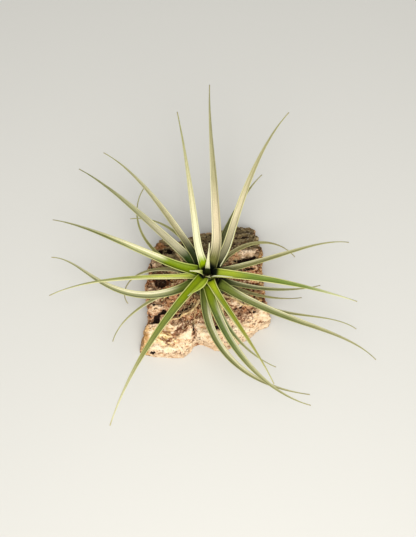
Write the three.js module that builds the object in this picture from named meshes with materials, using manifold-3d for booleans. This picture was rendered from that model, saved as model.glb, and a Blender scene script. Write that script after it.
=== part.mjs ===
// An air plant on a slab of cork bark. A short stem stands on the bark and holds on with its
// roots. Round it stand the leaves in tiers, each with an upright sheath that wraps the stem
// and a long channelled blade that bends outward, arches and tapers to a thin tip.
// Millimetres, +Z up, +Y to the back. The origin is the middle of the bark's flat underside.

import * as THREE from 'three';
import { mergeVertices } from 'three/addons/utils/BufferGeometryUtils.js';
import Module from 'manifold-3d';

const DEGREE = Math.PI / 180;
const CONTACT_GAP = 0.3;

// Bark: a piece cut from a trunk that lay along X, so its top is convex from front to back.
// Edge points are [fraction along that side, position across it].
const BARK_FRONT_EDGE = [
  [0, -46.5], [0.1, -49.5], [0.3, -50.5], [0.37, -49.8], [0.4, -43.8], [0.44, -40.5], [0.48, -40],
  [0.54, -42.5], [0.6, -45.1], [0.67, -45], [0.75, -41], [0.84, -36.5], [0.88, -36], [0.89, -31],
  [0.92, -29.5], [0.96, -28.5], [1, -27],
];
const BARK_BACK_EDGE = [
  [0, 31], [0.06, 36], [0.15, 36], [0.22, 33], [0.36, 39], [0.58, 42.5], [0.72, 46],
  [0.84, 49], [0.93, 49], [0.98, 43], [1, 36],
];
const BARK_LEFT_EDGE = [
  [0, -50], [0.12, -49], [0.24, -44], [0.42, -43], [0.56, -45], [0.72, -43.5],
  [0.88, -41], [1, -38],
];
const BARK_RIGHT_EDGE = [
  [0, 45], [0.1, 47], [0.27, 43.7], [0.42, 42.8], [0.56, 41.5], [0.7, 41.5], [0.9, 41], [1, 38],
];
const BARK_FRONT_MIDDLE = -45;
const NOTCH_FADE = 4; // how soon the front edge's notches end behind it
const BARK_CREST = 26;
const BARK_CREST_FALL = 0.0045; // per mm squared, away from the crest
const BARK_COLUMNS = 26;
const BARK_FRONT_ROWS = [0, 0.06, 0.13];
const WALL_ROUGHNESS = 0.012;
const RIPPLE_X = 0.19; // radians per mm, as the two below
const RIPPLE_Y = 0.23;
const RIPPLE_SLANT = 0.105;
const BARK_UNDERSIDE_QUAD = [[-24, -24], [24, -24], [24, 20], [-24, 20]];

// Long fissures part the bark's plates. Each is [fraction from front to back, depth].
const FISSURES = [[0.245, 5], [0.415, 3.5], [0.553, 3.5], [0.7, 4.5], [0.862, 4]];
const FISSURE_STEEPNESS = 1.3;
const FISSURE_SHOULDER = 0.028; // from its bottom to the plate beside it, as a fraction
const FISSURE_WAVER = 1.4;
const FISSURE_WAVER_LENGTH = 9;
const FISSURE_WAVER_SHIFT = 11;
const FISSURE_DEPTH_VARIES = 0.3;
const BORDER_FADE = 8;
const PLATE_SWELL = 1.1;

// The front of the slab has lost its outer plates and lies lower.
const FRONT_STEP = 3;
const FRONT_STEP_START = 0.195;
const FRONT_STEP_END = 0.245;

// Two corners of the slab were sawn on a slant, so the top is set in there: [x, y, inset].
const SLANTED_CORNERS = [[-49, -43, 5], [45, 9, 3]];
const SLANT_REACH = 17;

// The plant's seat on the bark is level.
const SEAT_HEIGHT = 25;
const SEAT_RADIUS = 17;
const SEAT_BLEND = 5;

// Stem: a low cone that the leaf sheaths stand on
const STEM_RADIUS = 14.6;
const STEM_HEIGHT = 14;
const STEM_TIP_RADIUS = 1.6;
const STEM_SIDES = 20;
const STEM_BASE_HEIGHT = SEAT_HEIGHT + CONTACT_GAP;

// Roots start inside the stem and run out over the bark.
// curl turns the root as it goes, and wander makes it snake. Angles are in degrees.
const ROOTS = [
  { azimuth: 240, length: 30, curl: -70, wander: 28 },
  { azimuth: 300, length: 22, curl: -25, wander: 16 },
  { azimuth: 322, length: 27, curl: 30, wander: 14 },
  { azimuth: 20, length: 20, curl: -30, wander: 12 },
  { azimuth: 75, length: 22, curl: 25, wander: 15 },
  { azimuth: 140, length: 21, curl: -25, wander: 14 },
  { azimuth: 190, length: 24, curl: 30, wander: 12 },
  { azimuth: 214, length: 26, curl: 20, wander: 15 },
];
const ROOT_RADIUS = 0.65;
const ROOT_SIDES = 6;
const ROOT_STEP = 2;
const ROOT_START_RADIUS = 12.4;
const ROOT_TAPER = 0.45;
const ROOT_WANDER_RATE = 9;
const GROUND_PROBE = 1.5;

// Leaves. tier counts outward from the youngest leaves. azimuth is the way a leaf sets out,
// counted from +X towards +Y, turn is how far its blade swings from that as it leaves the
// sheath, and rise is the slope of the blade there. Along the blade the slope falls by droop,
// the way turns by sweep, and hook turns its tip.
// length and width belong to the blade. Angles are in degrees.
const LEAVES = [
  { tier: 0, azimuth: 83, turn: 0, length: 26, rise: 66, droop: 14, sweep: 0, hook: 0, width: 2.8 },
  { tier: 0, azimuth: 188, turn: 0, length: 14, rise: 50, droop: 20, sweep: 0, hook: 0, width: 3.2 },
  { tier: 0, azimuth: 282, turn: 0, length: 10, rise: 70, droop: 10, sweep: 30, hook: 0, width: 3.2 },
  { tier: 1, azimuth: 118, turn: -20, length: 115, rise: 46, droop: 38, sweep: 2, hook: 2, width: 6.4 },
  { tier: 1, azimuth: 236, turn: 0, length: 137, rise: 34, droop: 40, sweep: 11, hook: 6, width: 7.8 },
  { tier: 1, azimuth: 343, turn: 1, length: 109, rise: 31, droop: 42, sweep: 0, hook: 0, width: 7.4 },
  { tier: 2, azimuth: 60, turn: 32, length: 132, rise: 44, droop: 36, sweep: 8, hook: -12, width: 8.6 },
  { tier: 2, azimuth: 176, turn: -14, length: 115, rise: 18, droop: 32, sweep: -14, hook: 18, width: 8 },
  { tier: 2, azimuth: 289, turn: 8, length: 98, rise: 30, droop: 36, sweep: 10, hook: -12, width: 6.2 },
  { tier: 3, azimuth: 40, turn: 33, length: 126, rise: 40, droop: 34, sweep: -13, hook: -12, width: 7.6 },
  { tier: 3, azimuth: 194, turn: -9, length: 111, rise: 20, droop: 44, sweep: 0, hook: 14, width: 4.6 },
  { tier: 3, azimuth: 275, turn: 7, length: 127, rise: 26, droop: 40, sweep: 50, hook: 16, width: 8.4 },
  { tier: 4, azimuth: 7, turn: -2, length: 101, rise: 24, droop: 44, sweep: 34, hook: -40, width: 5.2 },
  { tier: 4, azimuth: 126, turn: 0, length: 112, rise: 30, droop: 40, sweep: 7, hook: 14, width: 6.6 },
  { tier: 4, azimuth: 264, turn: 0, length: 127, rise: 22, droop: 40, sweep: 122, hook: -30, width: 8 },
  { tier: 5, azimuth: 66, turn: 0, length: 79, rise: 26, droop: 36, sweep: -8, hook: -10, width: 6.4 },
  { tier: 5, azimuth: 140, turn: 1, length: 118, rise: 22, droop: 40, sweep: -6, hook: 10, width: 7.8 },
  { tier: 5, azimuth: 320, turn: 4, length: 129, rise: 14, droop: 36, sweep: 48, hook: -54, width: 7.4 },
  { tier: 6, azimuth: 213, turn: 4, length: 118, rise: 14, droop: 34, sweep: -168, hook: 124, width: 7.6 },
  { tier: 6, azimuth: 339, turn: 1, length: 77, rise: 13, droop: 34, sweep: 40, hook: 0, width: 4.6 },
  { tier: 7, azimuth: 46, turn: 0, length: 68, rise: 16, droop: 50, sweep: -88, hook: 0, width: 4.2 },
  { tier: 7, azimuth: 119, turn: 0, length: 67, rise: 17, droop: 30, sweep: 64, hook: 0, width: 3.6 },
  { tier: 7, azimuth: 204, turn: 0, length: 76, rise: 8, droop: 30, sweep: 13, hook: 36, width: 3.8 },
  { tier: 7, azimuth: 286, turn: 0, length: 77, rise: 6, droop: 28, sweep: 56, hook: 0, width: 4.4 },
  { tier: 8, azimuth: 167, turn: 6, length: 66, rise: 9, droop: 30, sweep: 36, hook: 106, width: 3.4 },
  { tier: 8, azimuth: 325, turn: 0, length: 105, rise: 2, droop: 16, sweep: 78, hook: -75, width: 3.4 },
  { tier: 9, azimuth: 160, turn: 0, length: 88, rise: 2, droop: 6, sweep: -101, hook: 0, width: 3.2 },
  { tier: 9, azimuth: 338, turn: 1, length: 61, rise: -8, droop: 10, sweep: 34, hook: 0, width: 3.4 },
];
const INNER_SHEATH_RADIUS = 3.2;
const TIER_SPACING = 1.2;
const SHEATH_TOP = 50;
const SHEATH_TOP_STEP = 2;
const SHEATH_HALF_ANGLE_MAX = 52 * DEGREE;
const SHEATH_HALF_WIDTH_MAX = 8.5;
const SHEATH_SIDE_GAP = 4 * DEGREE;
const SHEATH_TOP_WIDTH = 1.25;
const SHEATH_RINGS = 3;
const BEND_LENGTH = 16;
const CHANNEL_HALF_ANGLE = 46 * DEGREE;
const RIB_THICKNESS = 0.85;
const EDGE_THICKNESS = 0.65;
const TAPER_POWER = 0.8;
const TIP_WIDTH = 0.9;
const SWEEP_POWER = 1.4;
const HOOK_POWER = 4;
const DROOP_POWER = 1.5;
const SECTION_SEGMENTS = 4;
const BEND_RINGS = 4;
const BLADE_RINGS = 9;
const PATH_STEP = 0.5;

const wasm = await Module();
wasm.setup();

// Helpers

function valueAlong(points, fraction) {
  let next = points.findIndex(([place]) => place >= fraction);
  if (next < 1) next = 1;
  const [placeA, valueA] = points[next - 1];
  const [placeB, valueB] = points[next];
  return THREE.MathUtils.mapLinear(fraction, placeA, placeB, valueA, valueB);
}

// Gentle uneven relief between -1 and 1, from two waves that cross
function ripple(x, y, seed) {
  const straight = Math.sin(x * RIPPLE_X + seed) * Math.cos(y * RIPPLE_Y - 2 * seed);
  const slanted = Math.sin((x - 3 * y) * RIPPLE_SLANT + 2 * seed);
  return (straight + slanted) / 2;
}

function indexedGeometry(points, index) {
  const geometry = new THREE.BufferGeometry();
  geometry.setAttribute('position', new THREE.Float32BufferAttribute(points.flatMap((p) => p.toArray()), 3));
  geometry.setIndex(index);
  geometry.computeVertexNormals();
  return geometry;
}

function toSolid(geometry) {
  const bare = geometry.clone();
  bare.deleteAttribute('normal');
  bare.deleteAttribute('uv');
  const merged = mergeVertices(bare, 1e-4);
  return new wasm.Manifold(new wasm.Mesh({
    numProp: 3,
    vertProperties: new Float32Array(merged.attributes.position.array),
    triVerts: new Uint32Array(merged.index.array),
  }));
}

function fromSolid(solid) {
  const mesh = solid.getMesh();
  const geometry = new THREE.BufferGeometry();
  geometry.setAttribute('position', new THREE.BufferAttribute(mesh.vertProperties, 3));
  geometry.setIndex(new THREE.BufferAttribute(mesh.triVerts, 1));
  geometry.computeVertexNormals();
  return geometry;
}

// Rings of points joined side by side, with both ends closed by the given triangles.
function ringedGeometry(rings, capTriangles) {
  const count = rings[0].length;
  const index = [];
  for (let ring = 0; ring < rings.length - 1; ring++) {
    for (let side = 0; side < count; side++) {
      const a = ring * count + side;
      const b = ring * count + (side + 1) % count;
      index.push(a, b, b + count, a, b + count, a + count);
    }
  }
  const last = (rings.length - 1) * count;
  for (const [a, b, c] of capTriangles) {
    index.push(a, c, b, last + a, last + b, last + c);
  }
  return indexedGeometry(rings.flat(), index);
}

// Bark

function barkFractions() {
  const fractions = [...BARK_FRONT_ROWS];
  for (const [place, next] of FISSURES.map(([place], i) => [place, FISSURES[i + 1]?.[0] ?? 1])) {
    fractions.push(place - FISSURE_SHOULDER, place, place + FISSURE_SHOULDER, (place + next) / 2);
  }
  fractions.push(1);
  return fractions;
}

function barkRelief(x, y, fraction) {
  const depth = BARK_CREST - BARK_CREST_FALL * y * y;
  const swell = PLATE_SWELL * ripple(x, y, 1.3);
  const step = FRONT_STEP * (1 - THREE.MathUtils.smoothstep(fraction, FRONT_STEP_START, FRONT_STEP_END));
  let cut = 0;
  for (const [place, fissureDepth] of FISSURES) {
    const distance = (fraction - place) / FISSURE_SHOULDER * FISSURE_STEEPNESS;
    const shallower = FISSURE_DEPTH_VARIES * (1 - ripple(3 * x, 90 * place, 2));
    cut = Math.max(cut, fissureDepth * (1 - shallower) * Math.exp(-distance * distance));
  }
  const rough = depth + swell - step - cut;
  const seat = 1 - THREE.MathUtils.smoothstep(Math.hypot(x, y), SEAT_RADIUS, SEAT_RADIUS + SEAT_BLEND);
  return THREE.MathUtils.lerp(rough, SEAT_HEIGHT, seat);
}

function cornerInset(x, y) {
  let inset = 0;
  for (const [cornerX, cornerY, amount] of SLANTED_CORNERS) {
    const distance = Math.hypot(x - cornerX, y - cornerY) / SLANT_REACH;
    inset += amount * Math.exp(-distance * distance);
  }
  return inset;
}

function barkPlan(u, v) {
  const x = THREE.MathUtils.lerp(valueAlong(BARK_LEFT_EDGE, v), valueAlong(BARK_RIGHT_EDGE, v), u);
  const notch = (valueAlong(BARK_FRONT_EDGE, u) - BARK_FRONT_MIDDLE) * (1 - v) ** NOTCH_FADE;
  const y = THREE.MathUtils.lerp(BARK_FRONT_MIDDLE, valueAlong(BARK_BACK_EDGE, u), v) + notch;
  return new THREE.Vector2(x, y);
}

function barkGeometry() {
  const rows = barkFractions();
  const points = [];
  const index = [];
  const at = (column, row) => row * (BARK_COLUMNS + 1) + column;
  for (const v of rows) {
    for (let column = 0; column <= BARK_COLUMNS; column++) {
      const u = column / BARK_COLUMNS;
      const place = barkPlan(u, v);
      const inside = Math.min(1, BORDER_FADE * Math.min(u, 1 - u, v, 1 - v));
      place.y += inside * FISSURE_WAVER * Math.sin(place.x / FISSURE_WAVER_LENGTH + v * FISSURE_WAVER_SHIFT);
      place.multiplyScalar(1 - cornerInset(place.x, place.y) / place.length());
      points.push(new THREE.Vector3(place.x, place.y, barkRelief(place.x, place.y, v)));
    }
  }
  for (let row = 0; row < rows.length - 1; row++) {
    for (let column = 0; column < BARK_COLUMNS; column++) {
      const a = at(column, row);
      const b = at(column + 1, row);
      const c = at(column + 1, row + 1);
      const d = at(column, row + 1);
      index.push(a, b, c, a, c, d);
    }
  }

  // Walls run from the top's border down to the underside.
  const border = [];
  for (let column = 0; column < BARK_COLUMNS; column++) border.push([column, 0]);
  for (let row = 0; row < rows.length - 1; row++) border.push([BARK_COLUMNS, row]);
  for (let column = BARK_COLUMNS; column > 0; column--) border.push([column, rows.length - 1]);
  for (let row = rows.length - 1; row > 0; row--) border.push([0, row]);
  const foot = border.map(([column, row]) => barkPlan(column / BARK_COLUMNS, rows[row]));
  const wallStart = points.length;
  border.forEach(([column, row], i) => {
    const top = points[at(column, row)];
    const waist = new THREE.Vector3(foot[i].x, foot[i].y, 0).lerp(top, 0.5);
    waist.x *= 1 + WALL_ROUGHNESS * ripple(top.x * 2, top.y * 2, 4);
    waist.y *= 1 + WALL_ROUGHNESS * ripple(top.y * 2, top.x * 2, 7);
    points.push(waist);
  });
  for (const place of foot) points.push(new THREE.Vector3(place.x, place.y, 0));
  border.forEach(([column, row], i) => {
    const j = (i + 1) % border.length;
    const upper = [at(column, row), at(border[j][0], border[j][1])];
    const waist = [wallStart + i, wallStart + j];
    const lower = [wallStart + border.length + i, wallStart + border.length + j];
    index.push(upper[0], waist[0], waist[1], upper[0], waist[1], upper[1]);
    index.push(waist[0], lower[0], lower[1], waist[0], lower[1], waist[1]);
  });

  // The underside is flat, with one broad quad in its middle.
  const quad = BARK_UNDERSIDE_QUAD.map(([x, y]) => new THREE.Vector2(x, y));
  const quadStart = points.length;
  for (const corner of quad) points.push(new THREE.Vector3(corner.x, corner.y, 0));
  const footStart = wallStart + border.length;
  const lookup = [...foot.keys()].map((i) => footStart + i).concat(quad.map((_, i) => quadStart + i));
  for (const [a, b, c] of THREE.ShapeUtils.triangulateShape(foot, [quad])) {
    index.push(lookup[a], lookup[c], lookup[b]);
  }
  index.push(quadStart, quadStart + 2, quadStart + 1, quadStart, quadStart + 3, quadStart + 2);
  return indexedGeometry(points, index);
}

// Stem and roots

function stemHeight(radius) {
  return STEM_BASE_HEIGHT + STEM_HEIGHT * (1 - radius / STEM_RADIUS);
}

function stemGeometry() {
  const profile = [
    new THREE.Vector2(0, STEM_BASE_HEIGHT),
    new THREE.Vector2(STEM_RADIUS, STEM_BASE_HEIGHT),
    new THREE.Vector2(STEM_TIP_RADIUS, stemHeight(STEM_TIP_RADIUS)),
    new THREE.Vector2(0, stemHeight(STEM_TIP_RADIUS)),
  ];
  return new THREE.LatheGeometry(profile, STEM_SIDES).rotateX(Math.PI / 2);
}

function heightOver(mesh, x, y) {
  const ray = new THREE.Raycaster(new THREE.Vector3(x, y, 2 * BARK_CREST), new THREE.Vector3(0, 0, -1));
  const hit = ray.intersectObject(mesh)[0];
  return hit ? hit.point.z : 0;
}

function rootPath(root, bark) {
  const steps = Math.round(root.length / ROOT_STEP);
  const place = new THREE.Vector2(
    ROOT_START_RADIUS * Math.cos(root.azimuth * DEGREE),
    ROOT_START_RADIUS * Math.sin(root.azimuth * DEGREE),
  );
  const path = [];
  for (let step = 0; step <= steps; step++) {
    const t = step / steps;
    let ground = 0;
    for (const [dx, dy] of [[0, 0], [1, 0], [-1, 0], [0, 1], [0, -1]]) {
      ground = Math.max(ground, heightOver(bark, place.x + dx * GROUND_PROBE, place.y + dy * GROUND_PROBE));
    }
    path.push(new THREE.Vector3(place.x, place.y, ground + ROOT_RADIUS + CONTACT_GAP));
    const heading = (root.azimuth + root.curl * t + root.wander * Math.sin(t * ROOT_WANDER_RATE)) * DEGREE;
    place.x += ROOT_STEP * Math.cos(heading);
    place.y += ROOT_STEP * Math.sin(heading);
  }
  return path;
}

function rootGeometry(root, bark) {
  const path = rootPath(root, bark);
  const rings = path.map((point, i) => {
    const before = path[Math.max(i - 1, 0)];
    const after = path[Math.min(i + 1, path.length - 1)];
    const along = new THREE.Vector3().subVectors(after, before).normalize();
    const side = new THREE.Vector3(-along.y, along.x, 0).normalize();
    const up = new THREE.Vector3().crossVectors(along, side);
    const radius = ROOT_RADIUS * (1 - ROOT_TAPER * i / (path.length - 1));
    return Array.from({ length: ROOT_SIDES }, (_, k) => {
      const angle = k / ROOT_SIDES * 2 * Math.PI;
      return point.clone()
        .addScaledVector(side, radius * Math.cos(angle))
        .addScaledVector(up, radius * Math.sin(angle));
    });
  });
  const cap = Array.from({ length: ROOT_SIDES - 2 }, (_, k) => [0, k + 1, k + 2]);
  return ringedGeometry(rings, cap);
}

function stemAndRootsGeometry(bark) {
  let solid = toSolid(stemGeometry());
  for (const root of ROOTS) solid = solid.add(toSolid(rootGeometry(root, bark)));
  return fromSolid(solid);
}

// Leaves

function sheathRadius(tier) {
  return INNER_SHEATH_RADIUS + TIER_SPACING * tier;
}

// Half the angle that a sheath wraps: up to its neighbours in the same tier, within limits
function sheathHalfAngle(leaf) {
  let half = Math.min(SHEATH_HALF_ANGLE_MAX, SHEATH_HALF_WIDTH_MAX / sheathRadius(leaf.tier));
  for (const other of LEAVES) {
    if (other === leaf || other.tier !== leaf.tier) continue;
    const apart = Math.abs(THREE.MathUtils.euclideanModulo(other.azimuth - leaf.azimuth + 180, 360) - 180);
    half = Math.min(half, (apart * DEGREE - SHEATH_SIDE_GAP) / 2);
  }
  return half;
}

function bendLength(leaf) {
  return Math.min(BEND_LENGTH, leaf.length / 2);
}

// The blade's slope and heading at a distance from the top of its sheath
function bladeDirection(leaf, distance) {
  const t = distance / leaf.length;
  const bend = 1 - (1 - Math.min(distance / bendLength(leaf), 1)) ** 2;
  const slope = (90 - (90 - leaf.rise) * bend - leaf.droop * t ** DROOP_POWER) * DEGREE;
  const swing = THREE.MathUtils.smoothstep(distance, 0, 2 * bendLength(leaf));
  const turned = leaf.turn * swing + leaf.sweep * t ** SWEEP_POWER + leaf.hook * t ** HOOK_POWER;
  return { slope, heading: (leaf.azimuth + turned) * DEGREE };
}

// Points along the middle of the leaf, each with the axes and the channel of its section
function leafStations(leaf) {
  const radius = sheathRadius(leaf.tier);
  const sheathHalf = sheathHalfAngle(leaf);
  const azimuth = leaf.azimuth * DEGREE;
  const foot = stemHeight(radius - RIB_THICKNESS / 2) + CONTACT_GAP * Math.SQRT2;
  const top = SHEATH_TOP - SHEATH_TOP_STEP * leaf.tier;
  const topHalf = Math.min(sheathHalf, SHEATH_TOP_WIDTH * leaf.width / (2 * radius));
  const place = new THREE.Vector3(radius * Math.cos(azimuth), radius * Math.sin(azimuth), top);
  const stations = [];
  for (let i = 0; i < SHEATH_RINGS; i++) {
    const raised = i / SHEATH_RINGS;
    const half = THREE.MathUtils.lerp(sheathHalf, topHalf, raised);
    const level = place.clone().setZ(THREE.MathUtils.lerp(foot, top, raised));
    stations.push({ place: level, slope: Math.PI / 2, heading: azimuth, half, width: 2 * radius * half });
  }
  const bent = bendLength(leaf);
  const stops = [0];
  for (let i = 1; i <= BEND_RINGS; i++) stops.push(bent * i / BEND_RINGS);
  for (let i = 1; i <= BLADE_RINGS; i++) stops.push(bent + (leaf.length - bent) * i / BLADE_RINGS);
  let travelled = 0;
  for (const stop of stops) {
    const steps = Math.ceil((stop - travelled) / PATH_STEP);
    const step = steps ? (stop - travelled) / steps : 0;
    for (let i = 0; i < steps; i++) {
      const { slope, heading } = bladeDirection(leaf, travelled + step / 2);
      place.x += step * Math.cos(slope) * Math.cos(heading);
      place.y += step * Math.cos(slope) * Math.sin(heading);
      place.z += step * Math.sin(slope);
      travelled += step;
    }
    const t = stop / leaf.length;
    const opened = THREE.MathUtils.smoothstep(stop, 0, bent);
    const taper = Math.max(leaf.width * (1 - t) ** TAPER_POWER, TIP_WIDTH);
    const half = THREE.MathUtils.lerp(topHalf, CHANNEL_HALF_ANGLE, opened);
    const width = THREE.MathUtils.lerp(2 * radius * topHalf, taper, opened);
    stations.push({ place: place.clone(), ...bladeDirection(leaf, stop), half, width });
  }
  return stations;
}

function leafSection({ place, slope, heading, half, width }) {
  const along = new THREE.Vector3(
    Math.cos(slope) * Math.cos(heading),
    Math.cos(slope) * Math.sin(heading),
    Math.sin(slope),
  );
  const side = new THREE.Vector3(-Math.sin(heading), Math.cos(heading), 0);
  const face = new THREE.Vector3().crossVectors(along, side);
  const channel = width / (2 * half);
  const row = (sign) => Array.from({ length: SECTION_SEGMENTS + 1 }, (_, i) => {
    const across = 2 * i / SECTION_SEGMENTS - 1;
    const thickness = THREE.MathUtils.lerp(RIB_THICKNESS, EDGE_THICKNESS, across * across);
    const reach = channel + sign * thickness / 2;
    return place.clone()
      .addScaledVector(side, reach * Math.sin(across * half))
      .addScaledVector(face, channel - reach * Math.cos(across * half));
  });
  return [...row(1), ...row(-1).reverse()];
}

function leafGeometry(leaf) {
  const rings = leafStations(leaf).map(leafSection);
  const last = 2 * SECTION_SEGMENTS + 1;
  const cap = [];
  for (let i = 0; i < SECTION_SEGMENTS; i++) {
    cap.push([i, i + 1, last - i - 1], [i, last - i - 1, last - i]);
  }
  return ringedGeometry(rings, cap);
}

// Materials

const corkMaterial = new THREE.MeshStandardMaterial({ color: 0x9a7654, roughness: 0.95, metalness: 0 });
const rootMaterial = new THREE.MeshStandardMaterial({ color: 0x9b7d52, roughness: 0.85, metalness: 0 });
const leafColours = [0xa9c04a, 0xb6bf72, 0x8d9c55, 0x74875a];
const TIERS_PER_COLOUR = 2.5;

function leafMaterial(tier) {
  const color = leafColours[Math.min(Math.floor(tier / TIERS_PER_COLOUR), leafColours.length - 1)];
  return new THREE.MeshStandardMaterial({ color, roughness: 0.6, metalness: 0 });
}

// The whole object

function namedMesh(name, geometry, material) {
  const mesh = new THREE.Mesh(geometry, material);
  mesh.name = name;
  return mesh;
}

const model = new THREE.Group();
const bark = namedMesh('cork_bark', barkGeometry(), corkMaterial);
model.add(bark);
model.add(namedMesh('stem_and_roots', stemAndRootsGeometry(bark), rootMaterial));
LEAVES.forEach((leaf, i) => {
  const name = `leaf_${String(i + 1).padStart(2, '0')}`;
  model.add(namedMesh(name, leafGeometry(leaf), leafMaterial(leaf.tier)));
});

export default model;
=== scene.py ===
"""An air plant that grows on a slab of cork bark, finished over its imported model.

The leaves, the stem with its roots and the bark each stand for the model's node of that piece.
Lengths in this script are millimetres and angles are degrees until a point is placed.
The scene is in metres, +Z is up and +Y is the back. The origin is under the plant's stem.
"""

import math
import random
from collections import namedtuple

import bmesh
import bpy
from bpy.props import FloatProperty, FloatVectorProperty, IntProperty, PointerProperty
from mathutils import Matrix, Vector, noise
from mathutils.bvhtree import BVHTree


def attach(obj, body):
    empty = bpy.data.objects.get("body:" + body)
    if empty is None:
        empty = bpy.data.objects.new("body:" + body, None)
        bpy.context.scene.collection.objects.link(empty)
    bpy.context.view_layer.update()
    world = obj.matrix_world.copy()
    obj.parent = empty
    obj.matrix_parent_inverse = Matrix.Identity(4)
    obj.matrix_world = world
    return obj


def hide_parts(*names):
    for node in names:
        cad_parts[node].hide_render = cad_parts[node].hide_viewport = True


bl_info = {
    "name": "Air plant on cork bark",
    "version": (1, 0, 0),
    "blender": (4, 5, 0),
    "location": "3D View > Sidebar > Air plant",
    "description": "Makes the leaves, roots and cork bark of an air plant over its packed model",
    "category": "Add Mesh",
}

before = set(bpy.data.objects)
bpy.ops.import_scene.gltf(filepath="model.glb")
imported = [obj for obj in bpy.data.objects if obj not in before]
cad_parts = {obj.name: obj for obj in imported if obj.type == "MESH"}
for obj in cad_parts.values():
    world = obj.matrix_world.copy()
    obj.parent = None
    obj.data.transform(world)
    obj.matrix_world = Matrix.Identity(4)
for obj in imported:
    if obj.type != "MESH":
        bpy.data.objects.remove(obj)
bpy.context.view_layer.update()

MM = 0.001

# Leaves: how each one grows. tier counts outward from the youngest. azimuth is the way it
# sets out, turn how far its blade swings from that as it leaves the sheath, and rise its slope
# there. Along the blade the slope falls by droop, the way turns by sweep, and hook turns the tip.
# frost is how much light is painted on one wall of its channel, with painted shade on the other:
# above 0 the left wall is the lit one, below 0 the right one.
# cup is how far from the plant's axis the painted shade of its heart reaches over this leaf.
Leaf = namedtuple("Leaf", "tier azimuth turn length rise droop sweep hook width look frost cup")
LEAVES = [
    Leaf(0, 83, 0, 26, 66, 14, 0, 0, 2.8, "young", 0, 1),
    Leaf(0, 188, 0, 14, 50, 20, 0, 0, 3.2, "curled", 0, 1),
    Leaf(0, 282, 0, 10, 70, 10, 30, 0, 3.2, "curled", 0, 4),
    Leaf(1, 118, -20, 115, 46, 38, 2, 2, 6.4, "cream", 0, 6),
    Leaf(1, 236, 0, 137, 34, 40, 11, 6, 7.8, "spring", 0.2, 8),
    Leaf(1, 343, 1, 109, 31, 42, 0, 0, 7.4, "fresh", 0.2, 9.5),
    Leaf(2, 60, 32, 132, 44, 36, 8, -12, 8.6, "blush", 0.4, 8.5),
    Leaf(2, 176, -14, 115, 18, 32, -14, 18, 8, "frosted", -1, 8.5),
    Leaf(2, 289, 8, 98, 30, 36, 10, -12, 6.2, "lime", -0.35, 8.5),
    Leaf(3, 40, 33, 126, 40, 34, -13, -12, 7.6, "tan", 0.25, 13),
    Leaf(3, 194, -9, 111, 20, 44, 0, 14, 4.6, "straw", 0.7, 7),
    Leaf(3, 275, 7, 127, 26, 40, 50, 16, 8.4, "green", 0.55, 11),
    Leaf(4, 7, -2, 101, 24, 44, 34, -40, 5.2, "sage", 0.35, 12),
    Leaf(4, 126, 0, 112, 30, 40, 7, 14, 6.6, "khaki", -0.4, 13),
    Leaf(4, 264, 0, 127, 22, 40, 122, -30, 8, "dusty", 0.8, 11),
    Leaf(5, 66, 0, 79, 26, 36, -8, -10, 6.4, "deep", -0.3, 14),
    Leaf(5, 140, 1, 118, 22, 40, -6, 10, 7.8, "olive", -0.3, 13),
    Leaf(5, 320, 4, 129, 14, 36, 48, -54, 7.4, "dusty", 0.45, 13),
    Leaf(6, 213, 4, 118, 14, 34, -168, 124, 7.6, "silver", -0.9, 11),
    Leaf(6, 339, 1, 77, 13, 34, 40, 0, 4.6, "deep", 0.3, 14),
    Leaf(7, 46, 0, 68, 16, 50, -88, 0, 4.2, "withered", 0.2, 14),
    Leaf(7, 119, 0, 67, 17, 30, 64, 0, 3.6, "sage", 0, 13),
    Leaf(7, 204, 0, 76, 8, 30, 13, 36, 3.8, "sage", 0.3, 13),
    Leaf(7, 286, 0, 77, 6, 28, 56, 0, 4.4, "green", 0.4, 12),
    Leaf(8, 167, 6, 66, 9, 30, 36, 106, 3.4, "withered", 0.3, 13),
    Leaf(8, 325, 0, 105, 2, 16, 78, -75, 3.4, "sage", 0.3, 13),
    Leaf(9, 160, 0, 88, 2, 6, -101, 0, 3.2, "sage", 0, 13),
    Leaf(9, 338, 1, 61, -8, 10, 34, 0, 3.4, "withered", 0, 13),
]

# Folds: a margin that lies folded over its leaf near the heart, and narrows to a dry tip. number
# is its leaf's, and side is 1 where it starts at the left margin and -1 at the right one. start
# and end are places along the blade. reach is how far in it lies and flare how far it stands out
# past the margin, both of half the leaf's width. look is its finish.
Fold = namedtuple("Fold", "number side start end reach flare look")
FOLDS = [
    Fold(5, 1, 3, 31, 0.55, 0.9, "turned"),
    Fold(6, -1, 4, 23, 0.3, 0, "papery"),
    Fold(10, -1, 8, 40, 0.16, 0, "papery"),
]
# What all folds share. A fold lies FOLD_CLEARANCE above its leaf, and at the heart its inner edge
# rises by FOLD_LIFT more. Its width and how far its outer edge draws in are shares of its reach,
# and its width at the tip is a share of half the leaf's. It shows its finish from FOLD_FINISH_START
# to FOLD_FINISH_END of a leaf's length.
FOLD_FACES_ACROSS = 6
FOLD_THICKNESS = 0.3
FOLD_CLEARANCE = 0.4
FOLD_LIFT = 1.2
FOLD_DRAW_IN = 0.8
FOLD_DRAW_IN_POWER = 1.5
FOLD_WIDTH = 0.7
FOLD_TIP_WIDTH = 0.05
FOLD_FINISH_START = 0.12
FOLD_FINISH_END = 0.9

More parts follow.
